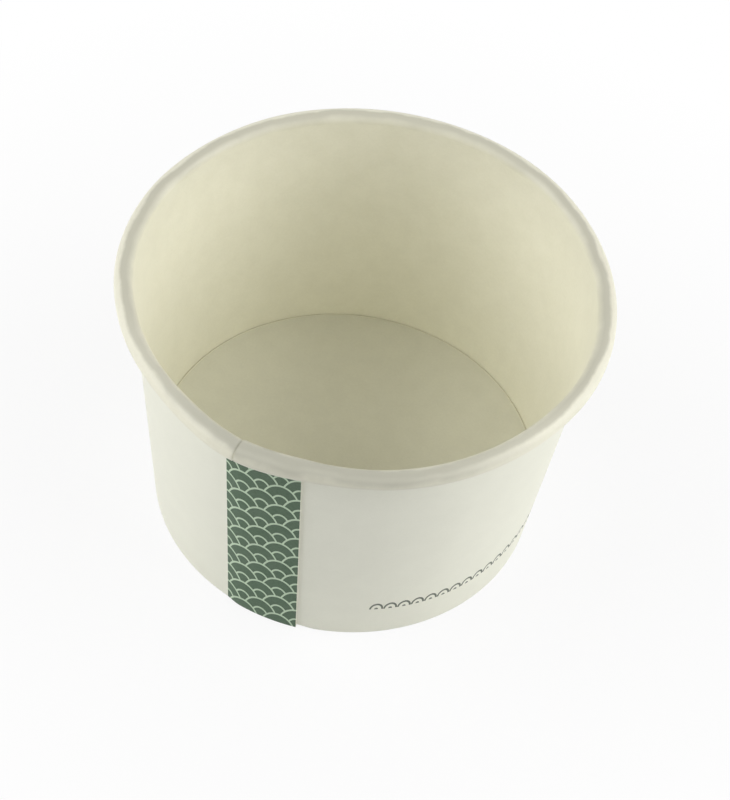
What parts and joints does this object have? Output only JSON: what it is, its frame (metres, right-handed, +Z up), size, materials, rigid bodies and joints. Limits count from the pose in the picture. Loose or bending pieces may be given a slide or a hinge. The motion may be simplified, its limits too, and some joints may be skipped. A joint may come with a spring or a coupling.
{
  "type": "paper ice cream cup",
  "caption": "Squat tapered paper tub for ice cream, with a rolled rim, a lapped side seam, a recessed base and a plain patterned band printed down the seam.",
  "frame": {"origin": "middle of the ring that the tub stands on, on the table", "axes": "+Z up along the tub's axis, -Y through the side seam and the printed band"},
  "size_m": [0.09, 0.0902, 0.057],
  "materials": {
    "side_wall": "matte",
    "base_disc": "matte"
  },
  "bodies": {
    "root": {"side_wall": "side_wall", "base_disc": "base_disc"}
  },
  "joints": []
}
